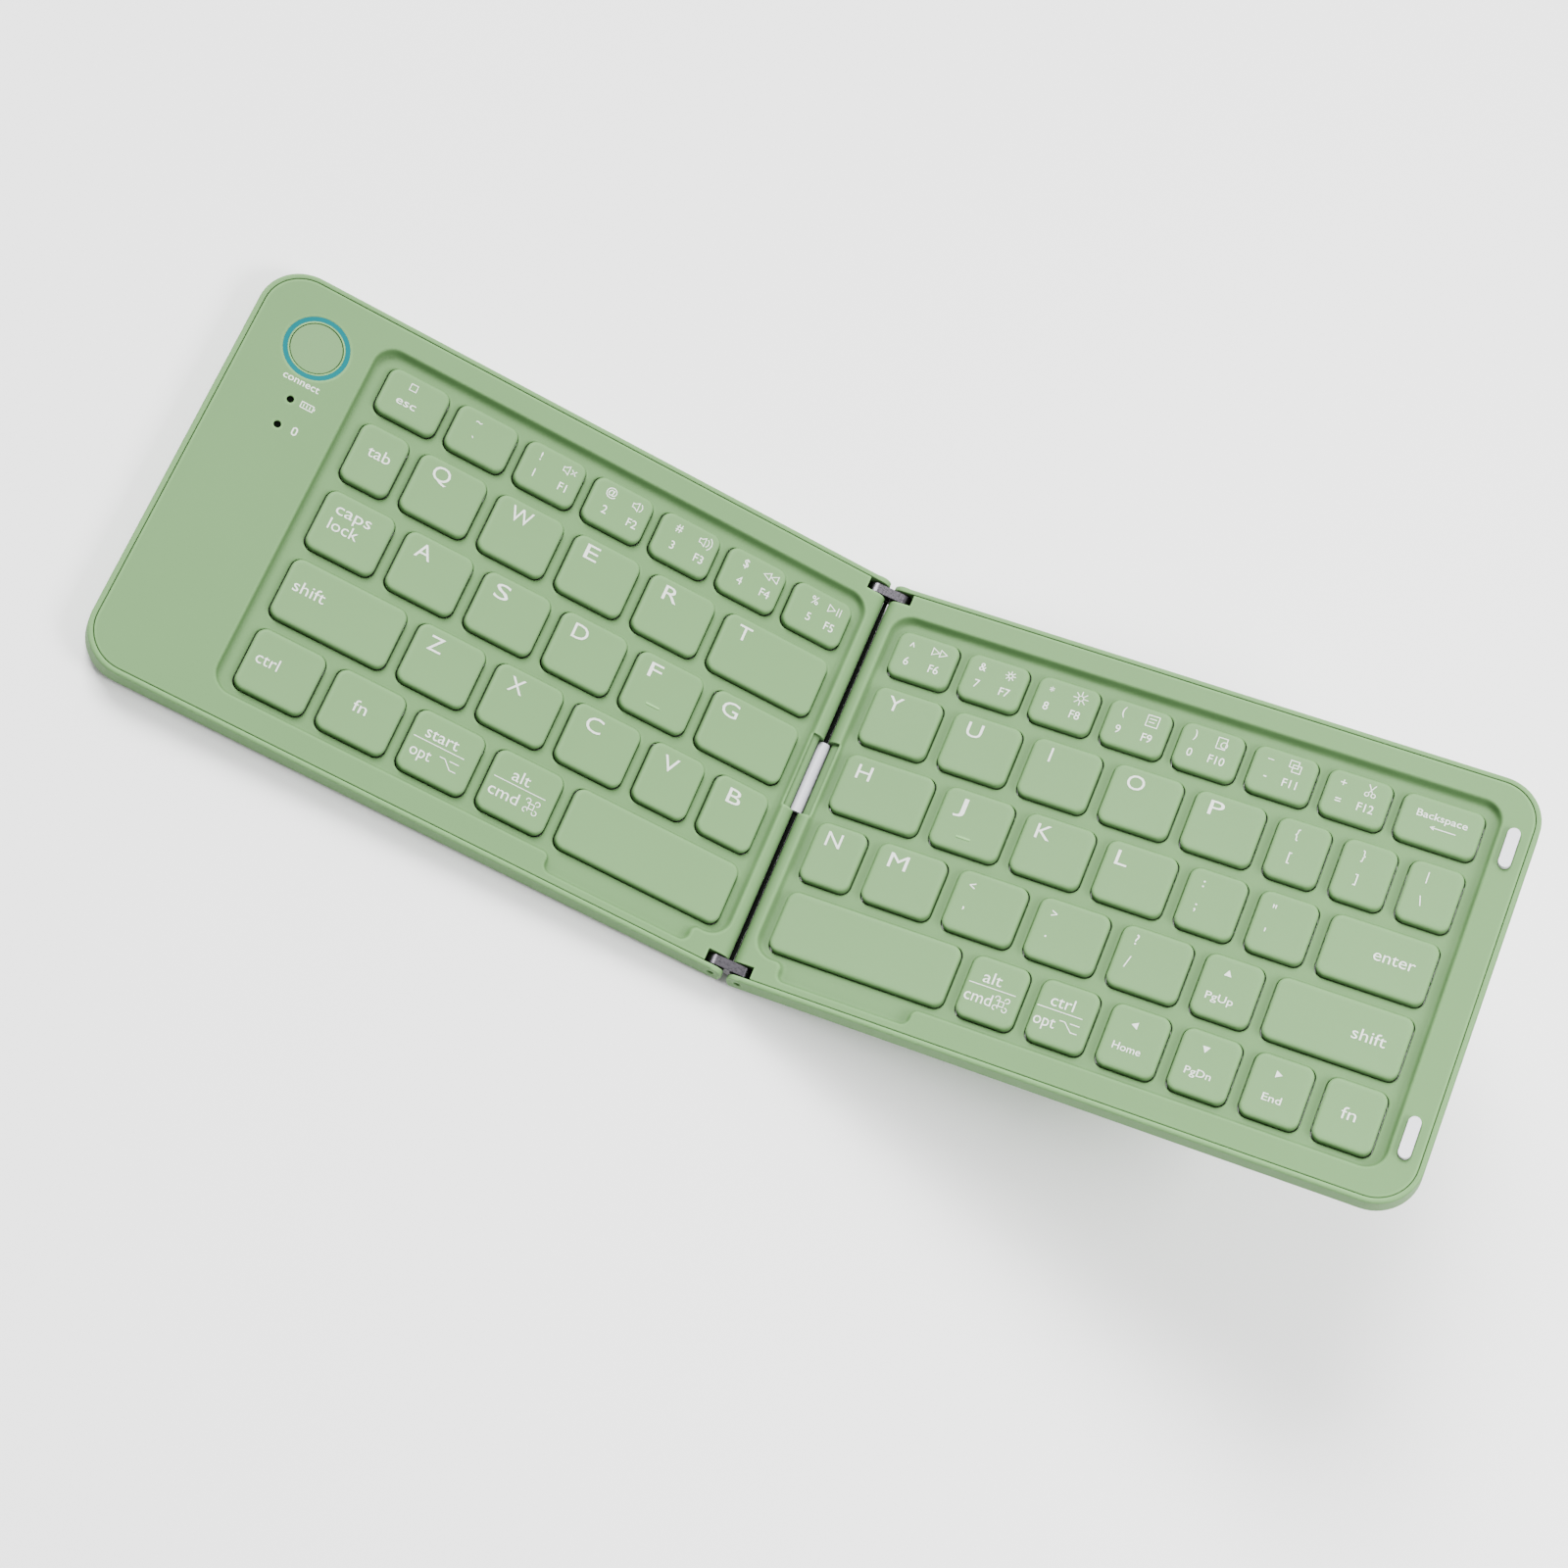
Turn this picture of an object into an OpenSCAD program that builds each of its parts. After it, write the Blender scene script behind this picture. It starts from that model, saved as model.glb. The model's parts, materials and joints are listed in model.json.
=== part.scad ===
// Folding keyboard: two key halves joined by a double-axle hinge.
// Lengths are millimetres. X runs along the keyboard, Y from front to back, Z up.
// The left half lies on its feet and the right half is raised about the hinge.

/* [Halves] */
// Width of the control strip at the left end
strip_w = 26.8; // [26:0.2:34]
// Width of the rim at the right end
end_rim_w = 7.7; // [7:0.1:9]
// Width of the deck behind the key wells
deck_back = 6; // [5:0.1:9]
// Width of the deck in front of the key wells
deck_front = 6.6; // [5.6:0.1:9]
// Thickness of one half, from its rim to its bottom face
half_t = 6.8; // [6.8:0.1:8]
// Radius of the two outer corners
corner_r = 10; // [6:0.5:12]
// Wall of the bottom case that shows around the top case
edge_w = 1.1; // [0.9:0.1:1.4]
// Open line between the two cases
seam_w = 0.15; // [0.1:0.05:0.25]
// Thickness of the top case beside the key well
deck_t = 1.6; // [1.5:0.1:1.7]
// Floor thickness of the bottom case
floor_t = 1.2; // [1:0.05:1.25]
// Ledge inside the bottom case that carries the top case
ledge_w = 1.2; // [1:0.1:1.6]
// Rounding of the lower outer edge
under_r = 1.2; // [0.8:0.1:1.4]

/* [Fold] */
// Angle between the left half and the hinge links
fold_left = 8; // [0:1:20]
// Angle between the hinge links and the right half
fold_right = 18; // [0:1:24]
// Distance of each hinge axle from the fold line
axle_off = 3.1; // [3:0.05:3.3]
// Depth of each hinge axle below the rim, and radius of the rounded hinge edge
axle_drop = 2.5; // [2.4:0.05:2.6]
// Radius of the hinge axles
axle_r = 0.8; // [0.7:0.05:0.9]
// Length of a hinge axle
axle_l = 4; // [3.8:0.1:5]
// Radial clearance of an axle in its bore
axle_clear = 0.05; // [0.03:0.01:0.08]
// Thickness of an end link
link_w = 2.2; // [2:0.1:2.4]
// Radius of the round ends of a link
link_r = 1.9; // [1.7:0.05:2]
// Distance from a link's middle to the end face of the case
link_inset = 2.6; // [2.5:0.05:2.8]
// Side clearance of a link in its slot
link_clear = 0.3; // [0.2:0.05:0.4]
// Distance from the fold line to the closed end of a link slot
slot_end = 5.8; // [5.6:0.1:6.2]
// Length of the cable cover between the halves
cover_l = 17; // [14:0.5:22]
// Width of the cable cover
cover_w = 3; // [2.6:0.1:3.2]
// Height of the cable cover above the hinge axles
cover_top = 0.4; // [0:0.05:0.6]
// Gap between the cable cover and each half
cover_gap = 0.22; // [0.2:0.02:0.3]

/* [Keys] */
// Width of a letter key
key_w = 15.6; // [15.2:0.1:15.8]
// Depth of a letter key, front to back
key_d = 14.2; // [13.6:0.1:14.4]
// Gap between neighbouring keys
key_gap = 2.8; // [2.6:0.1:3]
// Depth of a key in the number row
number_d = 11.1; // [10.7:0.1:11.2]
// Gap between keys of the number row
number_gap = 2.35; // [2.2:0.05:2.6]
// Width of the narrow keys, such as V and the arrows
narrow_w = 12.7; // [12.4:0.1:12.9]
// Width of the tab key
tab_w = 11; // [10.8:0.1:12]
// Width of the H key
h_w = 20.3; // [18:0.1:21]
// Width of the N key
n_w = 11.4; // [11:0.1:12]
// Width of the key block on the left half
left_block_w = 112.5; // [111:0.5:114]
// Distance from the fold line to the key blocks
block_off = 6.3; // [6.2:0.05:6.8]
// Extra gap between the number row and the letter rows
number_step = 0.2; // [0:0.05:0.6]
// Corner radius of a key
key_r = 2.3; // [1.8:0.1:2.6]
// Depth of the key tops below the rim
key_drop = 0.3; // [0.2:0.05:0.4]
// Travel of a key
key_travel = 1.4; // [1.2:0.05:1.4]
// Clearance around a key in its aperture
key_clear = 0.25; // [0.2:0.05:0.35]
// Wall and top thickness of a key cap
cap_wall = 0.9; // [0.8:0.05:0.95]

/* [Key well] */
// Depth of the well floor below the rim
well_d = 2; // [1.8:0.1:2.1]
// Thickness of the well floor
well_t = 1; // [0.9:0.05:1]
// Width of the sloped well wall
well_slope = 1.5; // [1.2:0.1:1.6]
// Margin from the keys to the well edge at the hinge
well_hinge = 2.9; // [2.8:0.05:3]
// Margin from the keys to the well edge at the back
well_back = 3.6; // [3.2:0.1:3.8]
// Margin from the keys to the well edge at the front
well_front = 2.5; // [2.4:0.1:2.8]
// Margin from the keys to the well edge beside the control strip
well_left = 4.4; // [3.8:0.1:4.8]
// Margin from the keys to the well edge at the right end
well_right = 3.5; // [3.3:0.1:3.8]
// Corner radius of the well
well_r = 5; // [4:0.2:6]
// Distance from the fold line to the thumb scoops
scoop_from = 10.6; // [10:0.1:12]
// Length of the left thumb scoop
left_scoop = 34.7; // [28:0.5:38]
// Length of the right thumb scoop
right_scoop = 30.4; // [26:0.5:36]
// Deck left between a thumb scoop and the front edge
scoop_rim = 2.7; // [2.6:0.1:3.6]
// Corner radius of the thumb scoops
scoop_r = 2.1; // [1.8:0.1:2.6]

/* [Controls] */
// Distance from the outer edge to the middle of the control column
control_in = 15.4; // [14.8:0.1:17]
// Distance from the back edge to the middle of the connect button
button_back = 14.8; // [13:0.1:17]
// Radius of the connect button
button_r = 5.55; // [5:0.05:5.8]
// Travel of the connect button
button_travel = 0.5; // [0.4:0.05:0.6]
// Inner radius of the light ring
ring_in = 6.1; // [6:0.05:6.3]
// Outer radius of the light ring
ring_out = 7.15; // [6.8:0.05:7.5]
// Radius of a status light window
light_r = 0.75; // [0.5:0.05:0.9]
// Distance from the button to the first status light
light_from = 12.9; // [11.5:0.1:14]
// Spacing of the two status lights
light_step = 6.3; // [5:0.1:7]

/* [Feet and bumpers] */
// Length of a foot
foot_l = 8.5; // [7:0.1:10]
// Width of a foot
foot_w = 3; // [2.6:0.1:3.6]
// Height of the bottom face above the desk
stand_h = 1; // [0.9:0.05:1.3]
// Height of the bar along the back edge
bar_h = 0.5; // [0.3:0.05:0.6]
// Width of the bar along the back edge
bar_w = 7.6; // [6.5:0.1:9]
// Distance from each end of the bar to the end of the half
bar_end = 5; // [4.5:0.1:6]
// Distance from the back edge to the middle of the bar
bar_in = 7.4; // [6.6:0.1:8.5]
// Distance from the front edge to the middle of the front feet
foot_in = 10; // [8:0.2:12]
// Distance from the side edges to the middle of the feet
foot_side = 11.4; // [10.5:0.1:14]
// Length of a bumper
bumper_l = 9.2; // [8:0.1:10]
// Width of a bumper
bumper_w = 2.7; // [2.2:0.1:3]
// Distance from the right edge to the middle of the bumpers
bumper_in = 4.9; // [4.4:0.1:5]
// Distance of each bumper from the middle of the half
bumper_y = 33.4; // [28:0.2:36]
// Depth of the pockets that hold feet and bumpers
pocket_d = 0.5; // [0.4:0.05:0.6]

/* [Inside] */
// Thickness of the steel key plate
plate_t = 0.4; // [0.3:0.05:0.45]
// Thickness of the contact membrane
film_t = 0.2; // [0.15:0.05:0.25]
// Thickness of the rubber dome sheet
sheet_t = 0.2; // [0.15:0.05:0.25]
// Height of a rubber dome
dome_h = 1.6; // [1.4:0.05:1.65]
// Radius of a rubber dome at its foot
dome_r = 2.4; // [2.1:0.1:2.5]
// Width of a scissor frame
scissor_w = 8.4; // [7.8:0.1:8.6]
// Length of a scissor frame
scissor_l = 8.6; // [8:0.1:8.8]
// Thickness of a scissor frame
scissor_t = 0.6; // [0.5:0.05:0.7]
// Tilt of each scissor frame
scissor_tilt = 7; // [5:0.5:8]
// Side of the switch under the connect button
switch_w = 5; // [4.5:0.1:5.5]
// Height of the switch under the connect button
switch_h = 1.2; // [0.8:0.1:1.3]
// Width of the radio module
radio_w = 12; // [10:0.5:13]
// Depth of the radio module, front to back
radio_d = 14; // [12:0.5:15]
// Height of the radio module
radio_h = 1.6; // [1.2:0.1:1.8]
// Side of the controller
chip_w = 4; // [3.5:0.1:4.5]
// Height of the controller
chip_h = 0.9; // [0.7:0.05:1]
// Distance from the back of the board to the front of the controller
chip_back = 20; // [18:0.5:21]
// Thickness of the main board
board_t = 0.7; // [0.6:0.05:0.75]
// Length of the battery
battery_l = 34; // [26:1:36]
// Thickness of the battery
battery_t = 3.4; // [3:0.1:3.6]
// Thickness of the ribbon cable
cable_t = 0.3; // [0.2:0.05:0.4]
// Width of the ribbon cable
cable_w = 8; // [6:0.5:9]
// Width of the charging socket
socket_w = 8.9; // [8.8:0.05:9]
// Height of the charging socket
socket_h = 3.2; // [3.1:0.05:3.25]
// Length of the charging socket
socket_l = 7; // [6.5:0.1:8]

/* [Hidden] */

$fn = 48;
eps = 0.01;
case_green = [0.62, 0.71, 0.56];
cap_green = [0.66, 0.75, 0.60];
rubber_white = [0.87, 0.86, 0.91];

// Levels, measured from the rim (0) downwards
floor_z = -half_t + floor_t;
plate_z = floor_z + plate_t;
film_z = plate_z + film_t;
sheet_z = film_z + sheet_t;
pan_z = -well_d - well_t;
cap_bottom = sheet_z + 0.2 + key_travel;
board_z = floor_z + board_t;
nose_z = -2 * axle_drop;
socket_z = board_z - 0.3 + socket_h / 2;

// Overall sizes, from the key blocks outwards
half_w = block_off + left_block_w + well_left + strip_w;
right_block_w = half_w - end_rim_w - well_right - block_off;
rows_d = number_d + number_step + 4 * (key_d + key_gap);
depth = deck_back + well_back + rows_d + well_front + deck_front;
wall_w = edge_w + ledge_w;

// Where the halves stand
rim_h = stand_h + half_t;
link_run = 2 * axle_off;
fold_all = fold_left + fold_right;
left_axle = [-axle_off, rim_h - axle_drop];
right_axle = left_axle + link_run * [cos(fold_left), sin(fold_left)];
// Right end of the raised half, for the middle of the whole length
far_reach = right_axle[0] + (half_w - axle_off) * cos(fold_all)
            + (half_t - axle_drop - under_r) * sin(fold_all);
mid_x = (far_reach - half_w) / 2;

// Key rows: number row first, then the four letter rows towards the front
row_pitch = key_d + key_gap;
function row_y(r) = r == 0
    ? depth / 2 - deck_back - well_back - number_d / 2
    : row_y(0) - (key_d + number_d) / 2 - key_gap - number_step - (r - 1) * row_pitch;
function row_d(r) = r == 0 ? number_d : key_d;
function row_gap(r) = r == 0 ? number_gap : key_gap;
function sum(v, n) = n <= 0 ? 0 : v[n - 1] + sum(v, n - 1);
function rest(total, v, gap) = total - sum(v, len(v)) - len(v) * gap;

number_w = (left_block_w - 6 * number_gap) / 7;
numbers = [for (i = [1 : 7]) number_w];
k = key_w;
n = narrow_w;
left_rows = [
    numbers,
    [tab_w, k, k, k, k, rest(left_block_w, [tab_w, k, k, k, k], key_gap)],
    [k, k, k, k, k, rest(left_block_w, [k, k, k, k, k], key_gap)],
    [rest(left_block_w, [k, k, k, n, n], key_gap), k, k, k, n, n],
    [k, k, k, k, rest(left_block_w, [k, k, k, k], key_gap)]];
bracket_w = (right_block_w - 5 * k - 7 * key_gap) / 3;
right_rows = [
    concat(numbers, [rest(right_block_w, numbers, number_gap)]),
    [k, k, k, k, k, bracket_w, bracket_w, bracket_w],
    [h_w, k, k, k, n, n, rest(right_block_w, [h_w, k, k, k, n, n], key_gap)],
    [n_w, k, k, k, k, n, rest(right_block_w, [n_w, k, k, k, k, n], key_gap)],
    [rest(right_block_w, [n, n, n, n, n, n], key_gap), n, n, n, n, n, n]];

block_back = row_y(0) + number_d / 2;
block_front = row_y(4) - key_d / 2;
well_y0 = block_front - well_front;
well_y1 = block_back + well_back;
well_u0 = block_off - well_hinge;
left_well_u1 = block_off + left_block_w + well_left;
right_well_u1 = block_off + right_block_w + well_right;
scoop_d = deck_front - scoop_rim;

// The battery fills the front of the control strip and the main board its back
battery_y = -depth / 2 + wall_w + 3.2;
board_y = battery_y + battery_l + 1;
board_u = left_well_u1 + 1.3;
board_u1 = half_w - wall_w - 0.3;

// Place a shape drawn in a half's own frame: X from the fold line, Z from the rim
module left_place() { translate([-mid_x, 0, rim_h]) children(); }
module right_place() {
    translate([right_axle[0] - mid_x, 0, right_axle[1]])
        rotate([0, -fold_all, 0])
            translate([-axle_off, 0, axle_drop]) children();
}
module link_place() {
    translate([left_axle[0] - mid_x, 0, left_axle[1]]) rotate([0, -fold_left, 0]) children();
}
// The left half is drawn outwards from the fold line and turned over to its side
module mirrored() { left_place() mirror([1, 0, 0]) children(); }

// A flat slab from the fold side u0 to the rounded outer side u1.
// prof lists [inset, z] up its outer edge.
module slab(u0, u1, y0, y1, r, prof) {
    zs = [for (p = prof) p[1]];
    last = len(prof) - 1;
    ym = (y0 + y1) / 2;
    hd = (y1 - y0) / 2;
    translate([u0, ym, 0]) rotate([90, 0, 90]) linear_extrude(u1 - r - u0)
        polygon(concat([for (p = prof) [hd - p[0], p[1]]],
                       [for (i = [last : -1 : 0]) [prof[i][0] - hd, prof[i][1]]]));
    translate([0, y1 - r, 0]) rotate([90, 0, 0]) linear_extrude(y1 - y0 - 2 * r)
        polygon(concat([[u0, zs[0]]], [for (p = prof) [u1 - p[0], p[1]]], [[u0, zs[last]]]));
    for (y = [y0 + r, y1 - r]) translate([u1 - r, y, 0]) rotate_extrude()
        polygon(concat([[0, zs[0]]], [for (p = prof) [r - p[0], p[1]]], [[0, zs[last]]]));
}

// A pad with four equal round corners, centred, with prof [inset, z] up its edge
module pad(w, d, r, prof) {
    last = len(prof) - 1;
    function ring(h) = concat([for (p = prof) [h - p[0], p[1]]],
                              [for (i = [last : -1 : 0]) [prof[i][0] - h, prof[i][1]]]);
    translate([r - w / 2, 0, 0]) rotate([90, 0, 90]) linear_extrude(w - 2 * r) polygon(ring(d / 2));
    translate([0, d / 2 - r, 0]) rotate([90, 0, 0]) linear_extrude(d - 2 * r) polygon(ring(w / 2));
    for (x = [r - w / 2, w / 2 - r], y = [r - d / 2, d / 2 - r]) translate([x, y, 0])
        rotate_extrude() polygon(concat([[0, prof[0][1]]], [for (p = prof) [r - p[0], p[1]]],
                                        [[0, prof[last][1]]]));
}

// A bar with half-round ends along X
module oblong(l, w, z0, z1) {
    translate([0, 0, z0]) linear_extrude(z1 - z0) {
        square([l - w, w], center = true);
        for (s = [-1, 1]) translate([s * (l - w) / 2, 0]) circle(d = w);
    }
}

// Bottom case, outwards from the fold line, with an ear for the axle at each end
module bottom_case() {
    ear_y = depth / 2 - edge_w;
    difference() {
        union() {
            difference() {
                slab(axle_off - axle_drop, half_w, -depth / 2, depth / 2, corner_r,
                     [[under_r, -half_t], [0.35 * under_r, -half_t + 0.3 * under_r],
                      [0, -half_t + under_r], [0, -0.3], [0.3, 0]]);
                // The hinge edge between the ears belongs to the top case
                translate([-1, -ear_y, nose_z]) cube([2 + slot_end, 2 * ear_y, half_t]);
                translate([-1, -depth, -axle_drop]) cube([1 + axle_off, 2 * depth, half_t]);
            }
            for (s = [-1, 1]) translate([axle_off, s * (ear_y + edge_w / 2), -axle_drop])
                rotate([90, 0, 0]) cylinder(r = axle_drop, h = edge_w, center = true);
            translate([half_w / 2, depth / 2 - bar_in, 0])
                oblong(half_w - 2 * bar_end, bar_w, -half_t - bar_h, -half_t + eps);
        }
        // Axle bores
        for (s = [-1, 1]) translate([axle_off, s * depth / 2, -axle_drop]) rotate([90, 0, 0])
            cylinder(r = axle_r + axle_clear, h = 2 * edge_w + 1, center = true);
        // Seat of the top case
        slab(slot_end + 0.6, half_w - edge_w, -ear_y, ear_y, corner_r - edge_w,
             [[0, -deck_t], [0, 1]]);
        // Room inside
        slab(slot_end - 0.2, half_w - wall_w, wall_w - depth / 2, depth / 2 - wall_w,
             corner_r - wall_w, [[0, floor_z], [0, 1]]);
        // Pockets of the feet
        for (u = foot_us()) {
            translate([u, foot_in - depth / 2, 0])
                oblong(foot_l, foot_w, -half_t - 1, -half_t + pocket_d);
            translate([u, depth / 2 - bar_in, 0])
                oblong(foot_l, foot_w, -half_t - 1, -half_t - bar_h + pocket_d);
        }
    }
}
function foot_us() = [foot_side + axle_off - axle_drop, half_w - foot_side];

// Four feet of one half
module feet() {
    color(rubber_white) for (u = foot_us()) {
        translate([u, foot_in - depth / 2, 0])
            oblong(foot_l, foot_w, -half_t - stand_h, -half_t + pocket_d);
        translate([u, depth / 2 - bar_in, 0])
            oblong(foot_l, foot_w, -half_t - stand_h, -half_t - bar_h + pocket_d);
    }
}

// Edge of the key wells and scoops, as [inset, z] from the floor up to the rim
well_edge = [for (p = [[1, 1], [0.76, 0.97], [0.58, 0.85], [0.42, 0.6], [0.3, 0.3], [0.17, 0.09],
                       [0, 0]]) [p[0] * well_slope, -p[1] * well_d]];
module well_cut(u0, u1, y0, y1, r) {
    translate([(u0 + u1) / 2, (y0 + y1) / 2, 0])
        pad(u1 - u0, y1 - y0, r, concat(well_edge, [[0, 1]]));
}
// Round corner of the deck between the well and a scoop that opens to side
module scoop_corner(u, side) {
    r = scoop_r / 2;
    translate([u - side * r, well_y0 - r, 0]) difference() {
        translate([side > 0 ? 0 : -r - well_slope, 0, -well_d])
            cube([r + well_slope, r + well_slope, well_d + 1]);
        rotate_extrude() polygon(concat([[0, -well_d]], [for (p = well_edge) [r + p[0], p[1]]],
                                        [[r, 1], [0, 1]]));
    }
}

// Top case, outwards from the fold line; rows and flip place the key apertures
module top_case(rows, well_u1, scoop_l, flip) {
    e = edge_w + seam_w;
    nose_l = depth - 2 * link_inset;
    nose_u = slot_end - 0.3;
    pan_y = depth / 2 - wall_w - 0.2;
    difference() {
        union() {
            slab(nose_u - 0.3, half_w - e, e - depth / 2, depth / 2 - e, corner_r - e,
                 [[0, -deck_t], [0, -0.15], [0.15, 0]]);
            // Pan under the well
            translate([axle_off, -pan_y, pan_z])
                cube([well_u1 + 1 - axle_off, well_y1 + 0.9 + pan_y, -pan_z - eps]);
            // Rounded hinge edge
            translate([axle_off, 0, -axle_drop]) rotate([90, 0, 0])
                cylinder(r = axle_drop, h = nose_l, center = true);
            translate([axle_off - axle_drop, -nose_l / 2, nose_z])
                cube([nose_u + axle_drop - axle_off, nose_l, axle_drop]);
            translate([axle_off, -nose_l / 2, nose_z])
                cube([nose_u - axle_off, nose_l, 2 * axle_drop]);
        }
        // Key well and thumb scoop
        well_cut(well_u0, well_u1, well_y0, well_y1, well_r);
        well_cut(scoop_from, scoop_from + scoop_l, well_y0 - scoop_d, well_y0 + key_d, scoop_r);
        scoop_corner(scoop_from, 1);
        scoop_corner(scoop_from + scoop_l, -1);
        // Apertures
        for (r = [0 : 4], i = [0 : len(rows[r]) - 1])
            translate([flip * key_x(rows, r, i, flip), row_y(r), 0])
                aperture(rows[r][i] + 2 * key_clear, row_d(r) + 2 * key_clear);
        // Link slots and axle bores
        for (s = [-1, 1]) {
            translate([-1, s * (depth / 2 - link_inset) - link_w / 2 - link_clear, nose_z - 1])
                cube([1 + slot_end, link_w + 2 * link_clear, half_t + 2]);
            translate([axle_off, s * (depth / 2 - link_inset), -axle_drop]) rotate([90, 0, 0])
                cylinder(r = axle_r + axle_clear, h = axle_l + 1, center = true);
        }
        // Room for the cable cover as it swings round the axle
        difference() {
            translate([-1, -cover_l / 2 - 0.4, nose_z - 1])
                cube([1 + axle_off + cover_back, cover_l + 0.8, half_t + 2]);
            translate([axle_off, 0, -axle_drop]) rotate([90, 0, 0])
                cylinder(r = cover_reach - cover_w / 2 - cover_gap, h = depth, center = true);
        }
    }
}
// Distance from an axle to the middle of the cover's round top
cover_reach = norm([axle_off, cover_top - cover_w / 2]);
// How far the closed cover reaches past the axle at rim level
cover_back = sqrt(pow(cover_w / 2 + cover_gap, 2) - pow(axle_off - axle_drop, 2))
             - cover_w / 2 + cover_top;
// Middle of key i in row r, on the side given by flip
function key_x(rows, r, i, flip) =
    (flip > 0 ? block_off : -block_off - left_block_w)
    + sum(rows[r], i) + i * row_gap(r) + rows[r][i] / 2;
module aperture(w, d) {
    translate([0, 0, pan_z - 1]) linear_extrude(well_t + 2) {
        square([w, d - 2 * key_r], center = true);
        square([w - 2 * key_r, d], center = true);
        for (x = [-1, 1], y = [-1, 1]) translate([x * (w / 2 - key_r), y * (d / 2 - key_r)])
            circle(r = key_r);
    }
}

// One key cap: a hollow block with a softened top edge
module cap(w, d) {
    difference() {
        pad(w, d, key_r, [[0, cap_bottom], [0, -key_drop - 0.5], [0.12, -key_drop - 0.22],
                          [0.32, -key_drop - 0.06], [0.55, -key_drop]]);
        translate([cap_wall - w / 2, cap_wall - d / 2, cap_bottom - 1])
            cube([w - 2 * cap_wall, d - 2 * cap_wall, -key_drop - cap_wall - cap_bottom + 1]);
    }
}
// Raised bar near the front of the F and J keys
module homing_bar(x) {
    color(cap_green) translate([x - 0.6, row_y(2) - key_d / 2 + 3.3, 0])
        oblong(3.3, 0.5, -key_drop - 0.2, -key_drop + 0.15);
}
module left_keys(r, from, to) {
    color(cap_green) left_place() for (i = [from : to])
        translate([key_x(left_rows, r, i, -1), row_y(r), 0]) cap(left_rows[r][i], row_d(r));
}
module right_keys(r, from, to) {
    color(cap_green) right_place() for (i = [from : to])
        translate([key_x(right_rows, r, i, 1), row_y(r), 0]) cap(right_rows[r][i], row_d(r));
}

// Stack under the keys
module layer(well_u1, z, t) {
    translate([block_off - 0.4, block_front - 1, z])
        cube([well_u1 - block_off + 0.4 - 1.4, block_back - block_front + 2, t]);
}
module dome_sheet(rows, well_u1, flip) {
    layer(well_u1, film_z, sheet_t);
    for (r = [0 : 4], i = [0 : len(rows[r]) - 1])
        translate([flip * key_x(rows, r, i, flip), row_y(r), sheet_z - eps])
            cylinder(r1 = dome_r, r2 = dome_r - 0.9, h = dome_h);
}
module scissor() {
    bar = 0.8;
    lift = scissor_l / 2 * sin(scissor_tilt) + scissor_t / 2;
    translate([0, 0, sheet_z + lift]) {
        rotate([scissor_tilt, 0, 0]) translate([0, 0, -scissor_t / 2]) linear_extrude(scissor_t)
            difference() {
                square([scissor_w, scissor_l], center = true);
                square([scissor_w - 2 * bar, scissor_l - 2 * bar], center = true);
            }
        rotate([-scissor_tilt, 0, 0]) translate([0, 0, -scissor_t / 2]) linear_extrude(scissor_t)
            difference() {
                square([scissor_w - 2 * bar, scissor_l], center = true);
                square([scissor_w - 3.6 * bar, scissor_l - 2 * bar], center = true);
            }
    }
}
module scissors(rows, flip) {
    color("white") for (r = [0 : 4], i = [0 : len(rows[r]) - 1])
        translate([flip * key_x(rows, r, i, flip), row_y(r), 0]) scissor();
}

// Axles of one half, one at each end
module axles() {
    color("silver") for (s = [-1, 1])
        translate([axle_off, s * (depth / 2 - link_inset), -axle_drop]) rotate([90, 0, 0])
            cylinder(r = axle_r, h = axle_l, center = true);
}

// ---- Left half ----
module left_bottom_case() {
    color(case_green) mirrored() difference() {
        bottom_case();
        // Charging socket through the back wall
        translate([half_w - control_in, depth / 2, socket_z]) rotate([90, 0, 0])
            oblong(socket_w + 0.2, socket_h + 0.1, -1, edge_w + ledge_w + 1);
        // Channel of the ribbon cable, 1 mm wider on each side
        translate([axle_off + 1, -cable_w / 2 - 1, floor_z - cable_t])
            cube([board_u + 1, cable_w + 2, cable_t + 1]);
    }
}
module left_top_case() {
    color(case_green) mirrored() difference() {
        top_case(left_rows, left_well_u1, left_scoop, -1);
        control_column() {
            translate([0, 0, -half_t]) cylinder(r = button_r + 0.2, h = half_t + 1);
            translate([0, 0, -0.9]) difference() {
                cylinder(r = ring_out, h = 2);
                translate([0, 0, -1]) cylinder(r = ring_in, h = 4);
            }
            for (i = [0, 1]) translate([0, -light_from - i * light_step, -half_t])
                cylinder(r = light_r + 0.05, h = half_t + 1);
        }
    }
}
module control_column() { translate([half_w - control_in, depth / 2 - button_back, 0]) children(); }
module left_key_plate() {
    color("lightgrey") mirrored() layer(left_well_u1, floor_z, plate_t);
}
module left_membrane() { color("ivory") mirrored() layer(left_well_u1, plate_z, film_t); }
module left_domes() { color("gainsboro") mirrored() dome_sheet(left_rows, left_well_u1, -1); }
module left_scissors() { mirrored() scissors(left_rows, -1); }
module left_feet() { mirrored() feet(); }
module left_hinge_pins() { mirrored() axles(); }
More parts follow.
